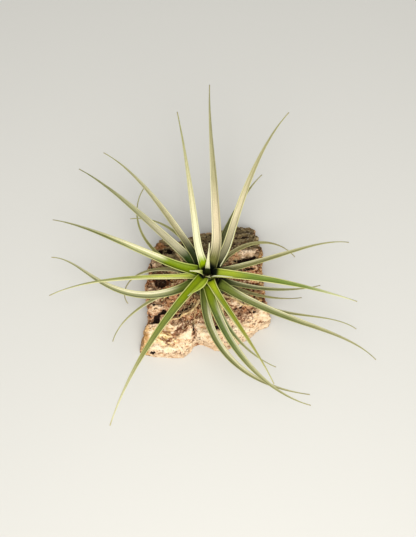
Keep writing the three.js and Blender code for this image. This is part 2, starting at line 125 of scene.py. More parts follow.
# What all leaves share: the sheath round the stem, then the channelled blade
INNER_SHEATH_RADIUS = 3.2
TIER_SPACING = 1.2
SHEATH_TOP = 50
SHEATH_TOP_STEP = 2
SHEATH_HALF_ANGLE_MAX = 52
SHEATH_HALF_WIDTH_MAX = 8.5
SHEATH_SIDE_GAP = 4
SHEATH_TOP_WIDTH = 1.25
SHEATH_CLEARANCE = 0.4
SHEATH_RINGS_MIN = 4
BLADE_RINGS_MIN = 12
BEND_LENGTH = 16
CHANNEL_HALF_ANGLE = 62
CHANNEL_ARC = 1.098 # length of the arc across the channel, in widths of the leaf
TIP_SLIMMING = 0.35
SLIMMING_START = 0.45
SLIMMING_END = 0.9
RIB_THICKNESS = 0.85
MARGIN_THICKNESS = 0.4
TIP_THICKNESS = 0.35
MARGIN_WAVE_LENGTH = 9
MARGIN_WAVE_START = 4
MARGIN_WAVE_FULL = 20
# The dark of the heart is painted shade.
CUP_EDGE = 0.7 # where the dark of the heart starts to fade, as a share of a leaf's cup
TAPER_POWER = 0.8
TIP_WIDTH = 0.5
SWEEP_POWER = 1.4
HOOK_POWER = 4
DROOP_POWER = 1.5
PATH_STEP = 0.5

# The stem that the sheaths stand on, and the bark's level seat under it
STEM_BASE = 25.3
STEM_RADIUS = 14.6
STEM_HEIGHT = 14
STEM_RINGS = 11
STEM_SIDES = 64
STEM_CAP_RISE = 0.3
STEM_EVEN_FOOT = 0.2
STEM_ROUGHNESS = 0.3
STEM_ROUGHNESS_RATE = 0.9
SEAT_RADIUS = 17
SEAT_OVERLAP = 2
SEAT_BLEND = 6
SEAT_DEPTH = 0.4
SEAT_SMOOTHING = 0.8

# Roots: curl turns a root as it goes, and wander makes it snake.
Root = namedtuple("Root", "azimuth length curl wander")
ROOTS = [
    Root(246, 31, -78, 8),
    Root(300, 22, -25, 16),
    Root(322, 27, 30, 14),
    Root(20, 20, -30, 12),
    Root(75, 22, 25, 15),
    Root(140, 21, -25, 14),
    Root(190, 24, 30, 12),
    Root(214, 26, 20, 15),
]
ROOT_START_RADIUS = 12.4
ROOT_STEP = 1
ROOT_WANDER_RATE = 9
ROOT_SMOOTHING = 3
ROOT_LEVELLING = 2
ROOT_GROUND_MIN = STEM_BASE / 2
ROOT_RIDE = 0.9 # height of a root's middle over the bark, in its radii
ROOT_KNOTS = 0.12
ROOT_TAPER = 0.4
ROOT_SIDES = 8
RAY_HEIGHT = 100 # where the rays that look for the bark's top start

# Fibres: fine roots. Most of them set out near one of the main ways.
FIBRE_SEED = 11
FIBRE_MAIN_WAYS = (240, 240, 318)
FIBRE_WAY_SPREAD = 16
FIBRE_LENGTHS = (8, 24)
FIBRE_CURLS = (-120, 120)
FIBRE_WANDERS = (10, 45)
FIBRE_STARTS = (11, 22)
FIBRE_TAPER = 0.6
FIBRE_SIDES = 5
FIBRE_POINTS_MIN = 4

# Bark: marks on the slab's top, each a long oval. turn is counted from +X towards +Y. amount is
# how far a cavity goes in, how far a lump stands out, or how strong a patch of colour is.
Mark = namedtuple("Mark", "x y along across turn amount")
CAVITIES = [
    Mark(-37.6, -27.5, 4.8, 1.8, 8, 4),
    Mark(-31.4, -21.5, 3.2, 2.2, 25, 4),
    Mark(-35.5, -24.8, 3, 1.6, 55, 3.5),
    Mark(-34.7, 0.4, 5.5, 2.4, -6, 1.5),
    Mark(-40, -47.8, 2.6, 0.7, -12, 2.5),
    Mark(-9.6, -31.5, 8, 0.7, 92, 2.4),
    Mark(-20, -24, 4.5, 1.8, 35, 2.5),
    Mark(-11, -16, 3.8, 2.2, 30, 2.2),
    Mark(-16.5, -19.5, 3.4, 1.8, 20, 2.2),
    Mark(7, -31.5, 3.2, 1.5, 10, 3),
    Mark(21, -20.2, 4.4, 1.3, 10, 2),
    Mark(33.4, -28.5, 4.6, 0.7, 72, 0.9),
    Mark(34.5, -20.7, 1.6, 1.2, 0, 2.2),
    Mark(41.7, -13.7, 2, 1, 25, 2),
    Mark(35.8, -11.4, 1.1, 0.8, 0, 1.5),
    Mark(42.7, -7.8, 1.1, 0.8, 0, 1.5),
    Mark(-35, 24.5, 3.6, 2.2, 0, 4),
    Mark(-28.5, 25.8, 2.6, 1.4, -20, 3),
    Mark(-41, 14, 1, 3, 15, 2),
    Mark(28.2, 19, 9, 1.4, 13, 3),
    Mark(29.3, 10.6, 5.5, 1.2, 5, 2.5),
    Mark(27.5, 33.4, 9.5, 1.1, 1, 3.2),
    Mark(26.7, 37.8, 6.5, 1, 3, 2.4),
    Mark(-4, 27, 4, 2.2, 0, 3),
    Mark(-17, 31, 5, 1.2, -10, 2),
]
LUMPS = [
    Mark(-35, 29.2, 4.4, 3, 0, 2.2),
    Mark(-36.5, -17, 5.5, 6, 20, 1.4),
    Mark(31, 24.5, 9, 3.4, 12, 1.4),
    Mark(29, 41, 8, 3, 0, 0.8),
    Mark(-31, 15, 6, 3, -10, 1),
]
BARE_CORK = [
    Mark(-37, -17, 6, 6.5, 20, 0.8),
    Mark(-39.5, -6, 4, 5, 0, 0.7),
    Mark(31, 24.5, 10, 3.6, 12, 0.7),
    Mark(23, -14.5, 6, 4, 10, 0.8),
    Mark(-40, 15, 4, 5, 0, 0.6),
]
STAINS = [
    Mark(-16, -18, 13, 10, 0, 1),
    Mark(-18, -33, 16, 3, 39, 1.3),
    Mark(-24, -49, 8, 2, 5, 0.6),
    Mark(-9, -36, 2.5, 6, -5, 0.8),
    Mark(26, -24, 10, 4.5, 22, 0.9),
    Mark(15.5, -11, 3, 6, 0, 1),
    Mark(3, -28, 9, 3, 0, 0.9),
    Mark(16, 23, 9, 6, 0, 1),
]
OCHRES = [
    Mark(-31, -37, 10, 6, -25, 1),
    Mark(36, -19, 3, 4, 0, 0.7),
    Mark(40, 0, 4.5, 3.4, 0, 0.7),
    Mark(-27, 1, 4, 2, 0, 0.7),
    Mark(38, -10, 6, 4, 0, 0.7),
]
MARK_RAGGEDNESS = 0.9
MARK_REACH = 1.8
MARK_EDGE = (0.5, 1.25)
BARK_SEED = 3 # of the noise that bends the relief, which is unseeded by default

# Zones of the bark: where the bare cork of the front ends and the weathered back begins, along Y.
# Each border slants across the slab.
BARE_FRONT = (-31, -25)
BARE_FRONT_SLANT = 0.3
WEATHERED_BACK = (9, 15)
WEATHERED_BACK_SLANT = 0.12

# Relief of the bark. Plates and flakes are terraces, of a number of levels that are a step apart.
# A pair named FADE or DEPTHS holds an amount on plain bark and on bare cork, and one named
# BACK_FADE on plain and on weathered bark. The relief sets in between RELIEF_START and RELIEF_FULL
# above the floor, and SIDE_RELIEF is the share of it on the slab's sides.
PLATE_LEVELS = 3.4
PLATE_STEP = 1.1
FLAKE_LEVELS = 2.6
FLAKE_STEP = 0.6
CRACK_WIDTHS = (0.015, 0.07)
CRACK_DEPTHS = (1.7, 0.8)
CRACK_FADE = (1, 0.4)
PIT_DEPTHS = (1.1, 0.7)
PIT_FADE = (0.75, 0.38)
PIT_BACK_FADE = (1, 0.4)
PLATE_FADE = (1, 0.5)
FLAKE_FADE = (1, 0.75)
FLAKE_BACK_FADE = (1, 0.5)
STRATA_BACK_FADE = (0.35, 0.75)
CRUMB_BACK_FADE = (0.35, 0.12)
SIDE_RELIEF = 0.7
RELIEF_START = 0.6
RELIEF_FULL = 3
# Cracks and cavities are darkened: partly the dark brown inside of the cork, partly painted shade.
CAVITY_FULL = 2.5 # depth from which a cavity is dark all the way

# Depths of the bumps in the finishes
LEAF_BUMP = 0.25
BARK_BUMP = 0.6
ROOT_BUMP = 0.2
FLOOR_BUMP = 0.02

# Stage, in metres and watts. Each light is a soft square that faces the floor's middle.
Lamp = namedtuple("Lamp", "name place size power tint")
LAMPS = [
    Lamp("window", (0.03, -0.62, 0.56), 0.8, 4.3, (1.0, 0.95, 0.9)),
    Lamp("ceiling", (0.06, -0.36, 1.0), 0.5, 7.8, (0.99, 0.99, 0.99)),
]
ROOM_TINT = (0.98, 0.98, 1.0, 1)
ROOM_STRENGTH = 0.5
FLOOR_REACH = 3
CAMERA_AIM = Vector((0.7, 2.3, 52.8)) * MM
SENSOR_WIDTH = 36


def lerp(a, b, t):
    return a + (b - a) * t


def clamp(value, low=0.0, high=1.0):
    return max(low, min(high, value))


def smoothstep(value, low, high):
    t = clamp((value - low) / (high - low))
    return t * t * (3 - 2 * t)


def colour(red, green, blue):
    """A colour picked on screen, from 0 to 255 a channel, as the linear colour that shaders use."""
    def linear(channel):
        share = channel / 255
        return share / 12.92 if share <= 0.04045 else ((share + 0.055) / 1.055) ** 2.4
    return (linear(red), linear(green), linear(blue), 1.0)


# Settings

def colour_setting(name, description, red, green, blue):
    """A colour that a user can change. Its default is given as it is picked on screen."""
    return FloatVectorProperty(
        name=name, description=description, subtype="COLOR", size=4,
        default=colour(red, green, blue), min=0, max=1)


class LeafSettings(bpy.types.PropertyGroup):
    """Sizes and colours of the leaves."""

    ring_spacing: FloatProperty(
        name="Ring spacing", description="Distance between two rows of faces along a leaf",
        default=1.1 * MM, min=0.3 * MM, unit="LENGTH")
    across: IntProperty(
        name="Faces across", description="Number of faces across a leaf", default=12, min=4)
    wave: FloatProperty(
        name="Margin wave", description="How far the margins wave", default=0.2 * MM, unit="LENGTH")
    # The painted shade in the heart of the rosette, between the leaf bases.
    heart: colour_setting("Heart", "Dark inside of the cup between the leaf bases", 10, 16, 8)
    scurf: colour_setting("Scurf", "Pale scales that cover the leaves", 204, 199, 170)
    # The colour of the light painted on one wall of a leaf's channel.
    frost: colour_setting("Frosted wall", "The paler wall of a leaf's channel", 228, 221, 184)
    # The leaf's pale edge, partly its own colour and partly a painted highlight.
    margin: colour_setting("Margin", "Thin pale edge of a leaf", 206, 206, 130)
    dry: colour_setting("Dry tip", "Withered end of a leaf", 168, 158, 120)


class BarkSettings(bpy.types.PropertyGroup):
    """Sizes and colours of the cork bark."""

    voxel: FloatProperty(
        name="Voxel", description="Size of the faces that the relief is cut in",
        default=0.65 * MM, min=0.5 * MM, unit="LENGTH")
    relief: FloatProperty(
        name="Relief", description="Strength of the plates, flakes and cracks", default=1.0, min=0)
    outer: colour_setting("Outer bark", "Weathered outside of the bark", 126, 110, 75)
    plate: colour_setting("Plates", "Plates that are worn to their tan inside", 200, 148, 104)
    worn: colour_setting("Bare cork", "Bare cork, mostly at the front of the slab", 232, 202, 162)
    # Partly the dark brown inside of the cork, partly painted shade.
    crack: colour_setting("Cracks", "Bottom of the cracks and cavities", 34, 20, 12)
    sawn: colour_setting("Sawn edge", "Sides that were cut with a saw", 172, 124, 64)
    ochre: colour_setting("Ochre", "Yellow patches of inner bark", 222, 186, 112)
    rust: colour_setting("Rust", "Brown knot at the back", 142, 97, 57)


class RootSettings(bpy.types.PropertyGroup):
    """Sizes and colours of the stem, roots and fibres."""

    root_radius: FloatProperty(
        name="Root radius", description="Radius of a root where it leaves the stem",
        default=0.95 * MM, unit="LENGTH")
    fibre_radius: FloatProperty(
        name="Fibre radius", description="Radius of a root fibre", default=0.16 * MM, unit="LENGTH")
    fibres: IntProperty(
        name="Fibres", description="Number of fine fibres on the bark", default=60, min=0)
    tan: colour_setting("Root", "Dry root", 222, 196, 142)
    husk: colour_setting("Stem", "Stem with the remains of old leaves", 112, 84, 50)


class StageSettings(bpy.types.PropertyGroup):
    """The floor, the lights and the camera."""

    camera_elevation: FloatProperty(
        name="Camera elevation", description="Angle of the view above the floor",
        default=math.radians(72), unit="ROTATION")
    camera_distance: FloatProperty(
        name="Camera distance", description="Distance from the camera to the leaf bases",
        default=0.62, unit="LENGTH")
    lens: FloatProperty(
        name="Lens", description="Focal length in millimetres on a 36 mm sensor", default=59.4)
    floor: colour_setting("Floor", "Colour of the floor", 199, 198, 191)


# Materials

class Signal:
    """A socket of a material. Arithmetic on it adds Math nodes."""

    def __init__(self, paint, socket):
        self.paint = paint
        self.socket = socket

    def __add__(self, other):
        return self.paint.math("ADD", self, other)

    __radd__ = __add__

    def __sub__(self, other):
        return self.paint.math("SUBTRACT", self, other)

    def __rsub__(self, other):
        return self.paint.math("SUBTRACT", other, self)

    def __mul__(self, other):
        return self.paint.math("MULTIPLY", self, other)

    __rmul__ = __mul__

    def __abs__(self):
        return self.paint.math("ABSOLUTE", self)


class Paint:
    """A material under construction. Its methods add nodes and give back their sockets."""

    def __init__(self, name):
        self.material = bpy.data.materials.new(name)
        self.material.use_nodes = True
        self.tree = self.material.node_tree
        self.tree.nodes.clear()

    def node(self, kind, settings, inputs, output=0):
        """Adds a node. settings are its own values, and inputs its sockets' values or links."""
        made = self.tree.nodes.new(kind)
        for name, value in settings.items():
            if name == "stops":
                self.set_stops(made.color_ramp, value)
            else:
                setattr(made, name, value)
        sockets = {socket.identifier: socket for socket in made.inputs}
        for name, value in inputs.items():
            if isinstance(value, Signal):
                self.tree.links.new(value.socket, sockets[name])
            else:
                sockets[name].default_value = value
        return Signal(self, made.outputs[output]) if made.outputs else None

    def set_stops(self, ramp, stops):
        while len(ramp.elements) < len(stops):
            ramp.elements.new(1.0)
        for element, (position, shade) in zip(ramp.elements, stops):
            element.position = position
            element.color = shade

    def math(self, operation, *values):
        inputs = dict(zip(("Value", "Value_001"), values))
        return self.node("ShaderNodeMath", {"operation": operation}, inputs)

    def attribute(self, name, output="Fac"):
        settings = {"attribute_type": "GEOMETRY", "attribute_name": name}
        return self.node("ShaderNodeAttribute", settings, {}, output)

    def place(self):
        return self.node("ShaderNodeTexCoord", {}, {}, "Object")

    def scaled(self, vector, scale, shift=(0, 0, 0), turn=(0, 0, 0)):
        inputs = {"Vector": vector, "Scale": scale, "Location": shift, "Rotation": turn}
        return self.node("ShaderNodeMapping", {}, inputs)

    def noise(self, vector, scale, detail, roughness=0.55):
        inputs = {"Vector": vector, "Scale": scale, "Detail": detail, "Roughness": roughness}
        return self.node("ShaderNodeTexNoise", {}, inputs)

    def ease(self, value, low, high):
        """0 below low, 1 above high, and a smooth change between them."""
        settings = {"interpolation_type": "SMOOTHSTEP"}
        return self.node("ShaderNodeMapRange", settings, {"Value": value, "From Min": low, "From Max": high})

    def ramp(self, value, stops):
        return self.node("ShaderNodeValToRGB", {"stops": stops}, {"Fac": value})

    def mix(self, amount, first, second, blend="MIX"):
        settings = {"data_type": "RGBA", "blend_type": blend, "clamp_factor": True}
        inputs = {"Factor_Float": amount, "A_Color": first, "B_Color": second}
        return self.node("ShaderNodeMix", settings, inputs, "Result")

    def finish(self, base, roughness, height, depth, specular):
        """Closes the material. height from 0 to 1 is a bump of this depth in millimetres."""
        bump_inputs = {"Height": height, "Distance": depth * MM, "Strength": 1.0}
        bump = self.node("ShaderNodeBump", {}, bump_inputs)
        inputs = {
            "Base Color": base, "Roughness": roughness, "Normal": bump,
            "Specular IOR Level": specular,
        }
        shader = self.node("ShaderNodeBsdfPrincipled", {}, inputs)
        self.node("ShaderNodeOutputMaterial", {}, {"Surface": shader})
        return self.material


# Leaf finishes. The colours run from the base over the body and the far stretch to the tip. scurf
# is how much of the body the pale scales cover, and margin how strong the leaf's pale edge is,
# which is partly the edge's own paleness and partly a painted highlight.
# green_until is how far along the base colour reaches, fade the length over which it turns into
# the body's, and body_until how far that one reaches.
Look = namedtuple("Look", "base body far tip scurf margin green_until fade body_until")
# Where a look's base is dark, it is partly the leaf's own deep green and partly painted shade from the
# leaves above.
LOOKS = {
    "young": Look(
        (60, 72, 24), (222, 222, 178), (222, 218, 174), (222, 218, 180), 0.2, 0.3, 0.02, 0.1, 0.3),
    "curled": Look(
        (60, 72, 24), (176, 186, 96), (214, 214, 160), (226, 224, 186), 0.1, 0.9, 0.1, 0.12, 0.3),
    "turned": Look(
        (120, 140, 10), (158, 178, 40), (180, 192, 80), (244, 242, 224), 0.0, 0.95, 0.1, 0.3, 0.6),
    "papery": Look(
        (206, 208, 150), (224, 224, 184), (232, 230, 200), (240, 238, 216), 0.1, 0.0, 0.05, 0.2, 0.4),
    "cream": Look(
        (136, 160, 0), (212, 210, 172), (196, 190, 148), (138, 138, 86), 0.15, 0.3, 0.08, 0.05, 0.3),
    "spring": Look(
        (124, 142, 4), (114, 126, 50), (138, 138, 80), (200, 196, 156), 0.04, 0.8, 0.24, 0.12, 0.46),
    "fresh": Look(
        (152, 166, 44), (104, 124, 42), (112, 126, 58), (192, 194, 150), 0.04, 0.9, 0.19, 0.14, 0.5),
    "blush": Look(
        (100, 100, 50), (196, 182, 148), (150, 144, 104), (130, 128, 84), 0.2, 0.2, 0.09, 0.12, 0.34),
    "frosted": Look(
        (110, 130, 0), (170, 172, 116), (110, 114, 58), (110, 112, 70), 0.08, 0.6, 0.25, 0.07, 0.46),
    "lime": Look(
        (166, 182, 28), (124, 138, 24), (134, 134, 44), (152, 148, 92), 0.04, 0.9, 0.14, 0.14, 0.4),
    "straw": Look(
        (172, 182, 72), (176, 182, 76), (124, 130, 62), (150, 148, 102), 0.08, 0.8, 0.1, 0.12, 0.3),
    "tan": Look(
        (46, 52, 16), (190, 180, 144), (158, 151, 108), (132, 130, 84), 0.25, 0.5, 0.06, 0.32, 0.44),
    "khaki": Look(
        (34, 44, 14), (142, 134, 96), (150, 146, 108), (144, 142, 94), 0.25, 0.35, 0.16, 0.16, 0.36),
    "green": Look(
        (120, 136, 24), (92, 108, 50), (134, 134, 84), (142, 140, 98), 0.08, 0.6, 0.17, 0.12, 0.46),
    "dusty": Look(
        (104, 116, 44), (108, 114, 60), (138, 136, 88), (148, 144, 100), 0.1, 0.4, 0.1, 0.14, 0.46),
    "silver": Look(
        (92, 104, 36), (140, 142, 96), (148, 148, 104), (156, 154, 112), 0.15, 0.5, 0.13, 0.12, 0.5),
    "sage": Look(
        (62, 70, 26), (110, 108, 58), (128, 126, 76), (148, 146, 98), 0.15, 0.4, 0.08, 0.12, 0.4),
    "deep": Look(
        (46, 54, 20), (76, 80, 38), (106, 108, 62), (134, 130, 84), 0.1, 0.3, 0.12, 0.12, 0.4),
    "olive": Look(
        (42, 62, 10), (160, 154, 122), (138, 138, 96), (116, 118, 72), 0.25, 0.3, 0.12, 0.08, 0.36),
    "withered": Look(
        (50, 50, 20), (106, 98, 54), (128, 124, 74), (136, 128, 90), 0.15, 0.3, 0.12, 0.12, 0.4),
}


def grey(paint, value):
    """A number as a grey, to darken a colour by."""
    return paint.node("ShaderNodeCombineColor", {}, {"Red": value, "Green": value, "Blue": value})


def leaf_material(name, look, settings):
    paint = Paint(name)
    along = paint.attribute("along")
    across = paint.attribute("across")
    underside = paint.attribute("underside")
    frost = paint.attribute("frost")
    grain = paint.attribute("grain", "Vector")
    edge = abs(across)
    streaks = paint.noise(paint.scaled(grain, (1.3, 0.05, 1)), 1.0, 3.0)
    fine = paint.noise(paint.scaled(grain, (3.2, 0.12, 1), (5, 0, 0)), 1.0, 2.0)
    speckle = paint.noise(paint.scaled(grain, (1, 1, 1), (0, 9, 0)), 1.3, 3.0, 0.7)
    flecks = paint.noise(paint.scaled(grain, (1.1, 0.5, 1), (3, 4, 0)), 2.6, 3.0, 0.7)

    green_until = look.green_until
    body = paint.ramp(along + (streaks - 0.5) * 0.08, [
        (0.0, colour(*look.base)),
        (green_until, colour(*look.base)),
        (green_until + look.fade, colour(*look.body)),
        (look.body_until, colour(*look.body)),
        (look.body_until + 0.18, colour(*look.far)),
        (0.9, colour(*look.tip)),
    ])
    furred = paint.ease(along, green_until * 0.9, green_until + look.fade)
    scurf = paint.ease(fine * 0.4 + flecks * 0.6, 0.42, 0.64) * (furred * look.scurf + underside * 0.3)
    surface = paint.mix(scurf, body, tuple(settings.scurf))
    far_away = paint.ease(along, 0.42, 0.8)
    # Painted light on one wall of the channel, fading far along the leaf, and painted shade on the other
    # wall.
    painted_wall_light = paint.ease(frost + (streaks - 0.5) * 0.25, 0.06, 0.5) * (furred * 0.85 + 0.02)
    painted_wall_light = painted_wall_light * (1 - far_away * 0.7)
    surface = paint.mix(painted_wall_light, surface, tuple(settings.frost))
    painted_wall_shade = paint.ease(0 - frost, 0.1, 0.6) * 0.34
    # A painted line of shade just inside each margin.
    painted_margin_shade = paint.ease(edge, 0.5, 0.72) * (1 - paint.ease(edge, 0.78, 0.88)) * 0.36
    shade = (paint.ease(fine, 0.3, 0.62) * 0.14 + 0.91) * (1 - painted_wall_shade) * (1 - painted_margin_shade)
    shade = shade * ((speckle - 0.5) * 0.6 + 1)
    surface = paint.mix(1.0, surface, grey(paint, shade), "MULTIPLY")
    # The pale margin: partly the leaf's own pale edge, partly a painted highlight.
    pale_edge_and_highlight = paint.ease(edge + (streaks - 0.5) * 0.08, 0.84, 0.94) * paint.ease(along, 0.02, 0.16)
    pale_edge_and_highlight = pale_edge_and_highlight * (1 - far_away * 0.6)
    surface = paint.mix(pale_edge_and_highlight * look.margin, surface, tuple(settings.margin))
    dry = paint.ease(along + (speckle - 0.5) * 0.05, 0.95, 1.0)
    surface = paint.mix(dry * 0.7, surface, tuple(settings.dry))

    # Painted shade in the heart of the rosette, over the leaves' upper faces near the axis.
    surface = paint.mix(paint.attribute("cup"), surface, tuple(settings.heart))
    roughness = scurf * 0.25 + 0.56
    ridges = fine * 0.5 + flecks * 0.5
    return paint.finish(surface, roughness, ridges, LEAF_BUMP, 0.15)


def bark_material(name, settings):
    paint = Paint(name)
    place = paint.place()
    hollow = paint.attribute("hollow")
    height = paint.attribute("height")
    worn = paint.attribute("worn")
    outer = paint.attribute("outer")
    stain = paint.attribute("stain")
    drift = paint.node("ShaderNodeTexNoise", {}, {"Vector": place, "Scale": 260.0, "Detail": 3.0}, "Color")
    bent = paint.node("ShaderNodeVectorMath", {"operation": "MULTIPLY_ADD"}, {
        "Vector": drift, "Vector_001": (4 * MM, 3 * MM, 3 * MM), "Vector_002": place})
    grain = paint.noise(paint.scaled(bent, (90, 420, 420)), 1.0, 4.0, 0.65)
    patches = paint.noise(paint.scaled(bent, (1, 1, 1), (0.3, 0.1, 0)), 130.0, 4.0, 0.65)
    specks = paint.noise(paint.scaled(place, (1, 1, 1), (0.7, 0.2, 0)), 640.0, 3.0, 0.7)
    crumbs = paint.noise(paint.scaled(bent, (1, 1.7, 1)), 330.0, 3.0, 0.65)
    cells = paint.node("ShaderNodeTexVoronoi", {"feature": "F1"}, {
        "Vector": paint.scaled(bent, (0.6, 1, 1)), "Scale": 560.0}, "Color")
    flake = paint.node("ShaderNodeSeparateColor", {}, {"Color": cells}, "Red")
    seams = paint.node("ShaderNodeTexVoronoi", {"feature": "DISTANCE_TO_EDGE"}, {
        "Vector": paint.scaled(bent, (0.45, 1, 1)), "Scale": 230.0}, "Distance")
    seam = (1 - paint.ease(seams, 0.02, 0.11)) * paint.ease(patches, 0.42, 0.56) * (1 - worn * 0.75)
    turned = paint.scaled(bent, (1, 1, 1), turn=(0, 0, 0.45))
    combed = paint.noise(paint.scaled(turned, (60, 400, 60)), 1.0, 2.0)

    tone = patches * 0.4 + flake * 0.16 + crumbs * 0.36 + height * 0.26 - 0.09
    greys = paint.ramp(tone * 0.5 + grain * 0.5, [
        (0.36, colour(50, 38, 26)), (0.5, tuple(settings.outer)), (0.64, colour(168, 149, 108))])
    tans = paint.ramp(tone, [
        (0.3, colour(70, 38, 22)), (0.42, colour(142, 88, 52)), (0.52, tuple(settings.plate)),
        (0.64, colour(236, 198, 156))])
    creams = paint.ramp(tone, [
        (0.26, colour(124, 70, 40)), (0.34, colour(204, 160, 118)), (0.42, tuple(settings.worn)),
        (0.62, colour(246, 226, 194))])
    ochres = paint.ramp(grain, [
        (0.32, colour(112, 72, 34)), (0.5, tuple(settings.sawn)), (0.68, colour(220, 176, 110))])
    surface = paint.mix(worn, tans, creams)
    surface = paint.mix(outer, surface, greys)
    surface = paint.mix(paint.attribute("ochre") * 0.9, surface, paint.ramp(combed * 0.7 + tone * 0.3, [
        (0.43, colour(124, 78, 36)), (0.5, tuple(settings.ochre)), (0.57, colour(250, 232, 178))]))
    stained = paint.ease(stain * 0.7 + (patches - 0.5) * 1.6, 0.2, 0.75)
    surface = paint.mix(stained * 0.8, surface, paint.ramp(tone, [
        (0.38, colour(58, 30, 18)), (0.5, colour(146, 86, 50)), (0.62, colour(216, 164, 116))]))
    surface = paint.mix(paint.attribute("sawn"), surface, ochres)
    surface = paint.mix(paint.attribute("rust"), surface, paint.ramp(grain, [
        (0.3, colour(70, 42, 26)), (0.55, tuple(settings.rust)), (0.75, colour(190, 140, 90))]))
    surface = paint.mix(seam * 0.7, surface, colour(92, 54, 32))
    spots = paint.ease(specks + stain * 0.08 + worn * 0.01, 0.56, 0.63) * paint.ease(patches, 0.4, 0.55)
    spots = spots * (1 - outer * 0.6)
    surface = paint.mix(spots * 0.9, surface, colour(88, 48, 28))
    chips = paint.ease(1 - specks, 0.56, 0.64) * (1 - outer * 0.5)
    surface = paint.mix(chips * 0.5, surface, colour(250, 230, 194))
    # Bottoms of cracks and cavities darken: partly the cork's dark brown, partly painted shade.
    depth = paint.ease(hollow + (crumbs - 0.5) * 0.5, 0.25, 0.75)
    surface = paint.mix(depth, surface, tuple(settings.crack))
    roughness = 0.96 - worn * 0.12
    bumps = grain * 0.4 + crumbs * 0.6 + flake * 0.3 - specks * 0.3 - seam * 0.6
    return paint.finish(surface, roughness, bumps, BARK_BUMP, 0.15)


def root_material(name, shade, dark, scale):
    paint = Paint(name)
    place = paint.place()
    strands = paint.noise(paint.scaled(place, (1, 1, 0.4)), scale, 4.0, 0.6)
    blotches = paint.noise(place, 260.0, 2.0)
    surface = paint.ramp(strands, [(0.3, dark), (0.55, shade), (0.75, colour(236, 214, 166))])
    surface = paint.mix(paint.ease(blotches, 0.5, 0.7) * 0.5, surface, dark)
    return paint.finish(surface, strands * 0.2 + 0.7, strands, ROOT_BUMP, 0.2)


def floor_material(shade):
    paint = Paint("pale_floor")
    weave = paint.noise(paint.place(), 900.0, 2.0)
    tone = paint.mix(paint.ease(weave, 0.3, 0.7) * 0.04, shade, colour(190, 190, 184))
    return paint.finish(tone, 0.8 + weave * 0.05, weave, FLOOR_BUMP, 0.2)


# Shared steps for the pieces

def add_piece(name, bm, material, node):
    """Makes a smooth piece from a bmesh. It stands for a node of the model, or for a part of it."""
    mesh = bpy.data.meshes.new(name)
    for face in bm.faces:
        face.smooth = True
    bm.to_mesh(mesh)
    bm.free()
    mesh.materials.append(material)
    piece = bpy.data.objects.new(name, mesh)
    bpy.context.scene.collection.objects.link(piece)
    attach(piece, "root")
    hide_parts(node)


def tube(bm, path, radii, sides):
    """Adds a closed tube along a path of points, by carrying a ring of edges from point to point."""
    ring = None
    for i, point in enumerate(path):
        ahead = path[min(i + 1, len(path) - 1)] - path[max(i - 1, 0)]
        turn = ahead.to_track_quat("Z", "Y").to_matrix().to_4x4()
        target = Matrix.Translation(point) @ turn @ Matrix.Scale(radii[i], 4)
        if ring is None:
            start = bmesh.ops.create_circle(bm, cap_ends=True, segments=sides, radius=1, matrix=target)
            verts = start["verts"]
            ring = list({edge for vert in verts for edge in vert.link_edges})
        else:
            grown = bmesh.ops.extrude_edge_only(bm, edges=ring)["geom"]
            verts = [item for item in grown if isinstance(item, bmesh.types.BMVert)]
            ring = [item for item in grown if isinstance(item, bmesh.types.BMEdge)]
            bmesh.ops.transform(bm, matrix=target @ last.inverted(), verts=verts)
        last = target
    bmesh.ops.holes_fill(bm, edges=ring, sides=sides)


# Leaves

def sheath_radius(leaf):
    return INNER_SHEATH_RADIUS + TIER_SPACING * leaf.tier


def sheath_half_angle(leaf):
    """Half the angle that a sheath wraps: up to its neighbours in its tier, within limits."""
    half = min(SHEATH_HALF_ANGLE_MAX, math.degrees(SHEATH_HALF_WIDTH_MAX / sheath_radius(leaf)))
    for other in LEAVES:
        if other is not leaf and other.tier == leaf.tier:
            apart = abs((other.azimuth - leaf.azimuth + 180) % 360 - 180)
            half = min(half, (apart - SHEATH_SIDE_GAP) / 2)
    return half


def forward_way(slope, heading):
    """The way that climbs at a slope towards a heading, both in radians, as a unit vector."""
    level = math.cos(slope)
    return Vector((level * math.cos(heading), level * math.sin(heading), math.sin(slope)))


def left_way(heading):
    return Vector((-math.sin(heading), math.cos(heading), 0))


def blade_direction(leaf, distance):
    """The blade's slope and heading at a distance from the top of its sheath, in radians."""
    t = distance / leaf.length
    bent = min(BEND_LENGTH, leaf.length / 2)
    bend = 1 - (1 - min(distance / bent, 1)) ** 2
    slope = 90 - (90 - leaf.rise) * bend - leaf.droop * t ** DROOP_POWER
    turned = leaf.turn * smoothstep(distance, 0, 2 * bent)
    turned += leaf.sweep * t ** SWEEP_POWER + leaf.hook * t ** HOOK_POWER
    return math.radians(slope), math.radians(leaf.azimuth + turned)


Station = namedtuple("Station", "place slope heading half width distance")


